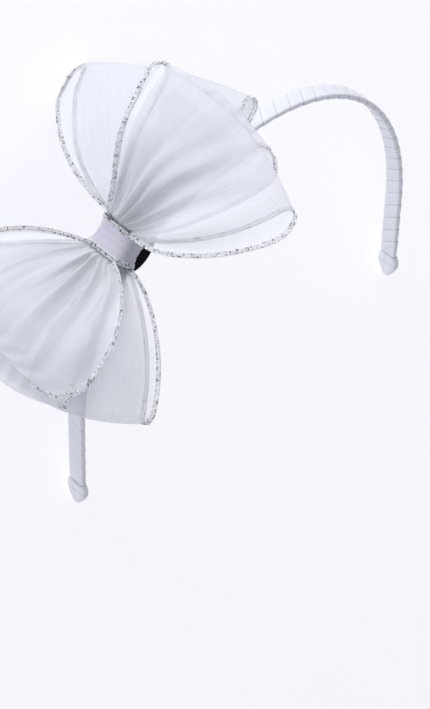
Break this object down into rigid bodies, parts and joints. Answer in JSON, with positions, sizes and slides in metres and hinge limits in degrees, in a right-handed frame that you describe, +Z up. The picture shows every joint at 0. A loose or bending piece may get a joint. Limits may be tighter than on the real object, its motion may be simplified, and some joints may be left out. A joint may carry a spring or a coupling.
{
  "type": "bow_headband",
  "caption": "Narrow headband wound in white satin, with a bow of silver-edged white organza ribbon on a black felt pad at one side",
  "frame": {"origin": "middle of the footprint on the table", "axes": "+X to the wearer's left, +Y towards the crown of the arch, +Z up off the table, to the wearer's front"},
  "size_m": [0.161, 0.1448, 0.0948],
  "materials": {
    "satin": "smooth satin, soft sheen",
    "felt": "matt black felt",
    "organza": "sheer organza, silver edges"
  },
  "bodies": {
    "root": {"wound_band": "satin", "end_cap_right": "satin", "end_cap_left": "satin", "bow_backing": "felt", "centre_wrap": "organza", "bow_tier_back": "organza", "bow_tier_middle": "organza", "bow_tier_front": "organza"}
  },
  "joints": []
}
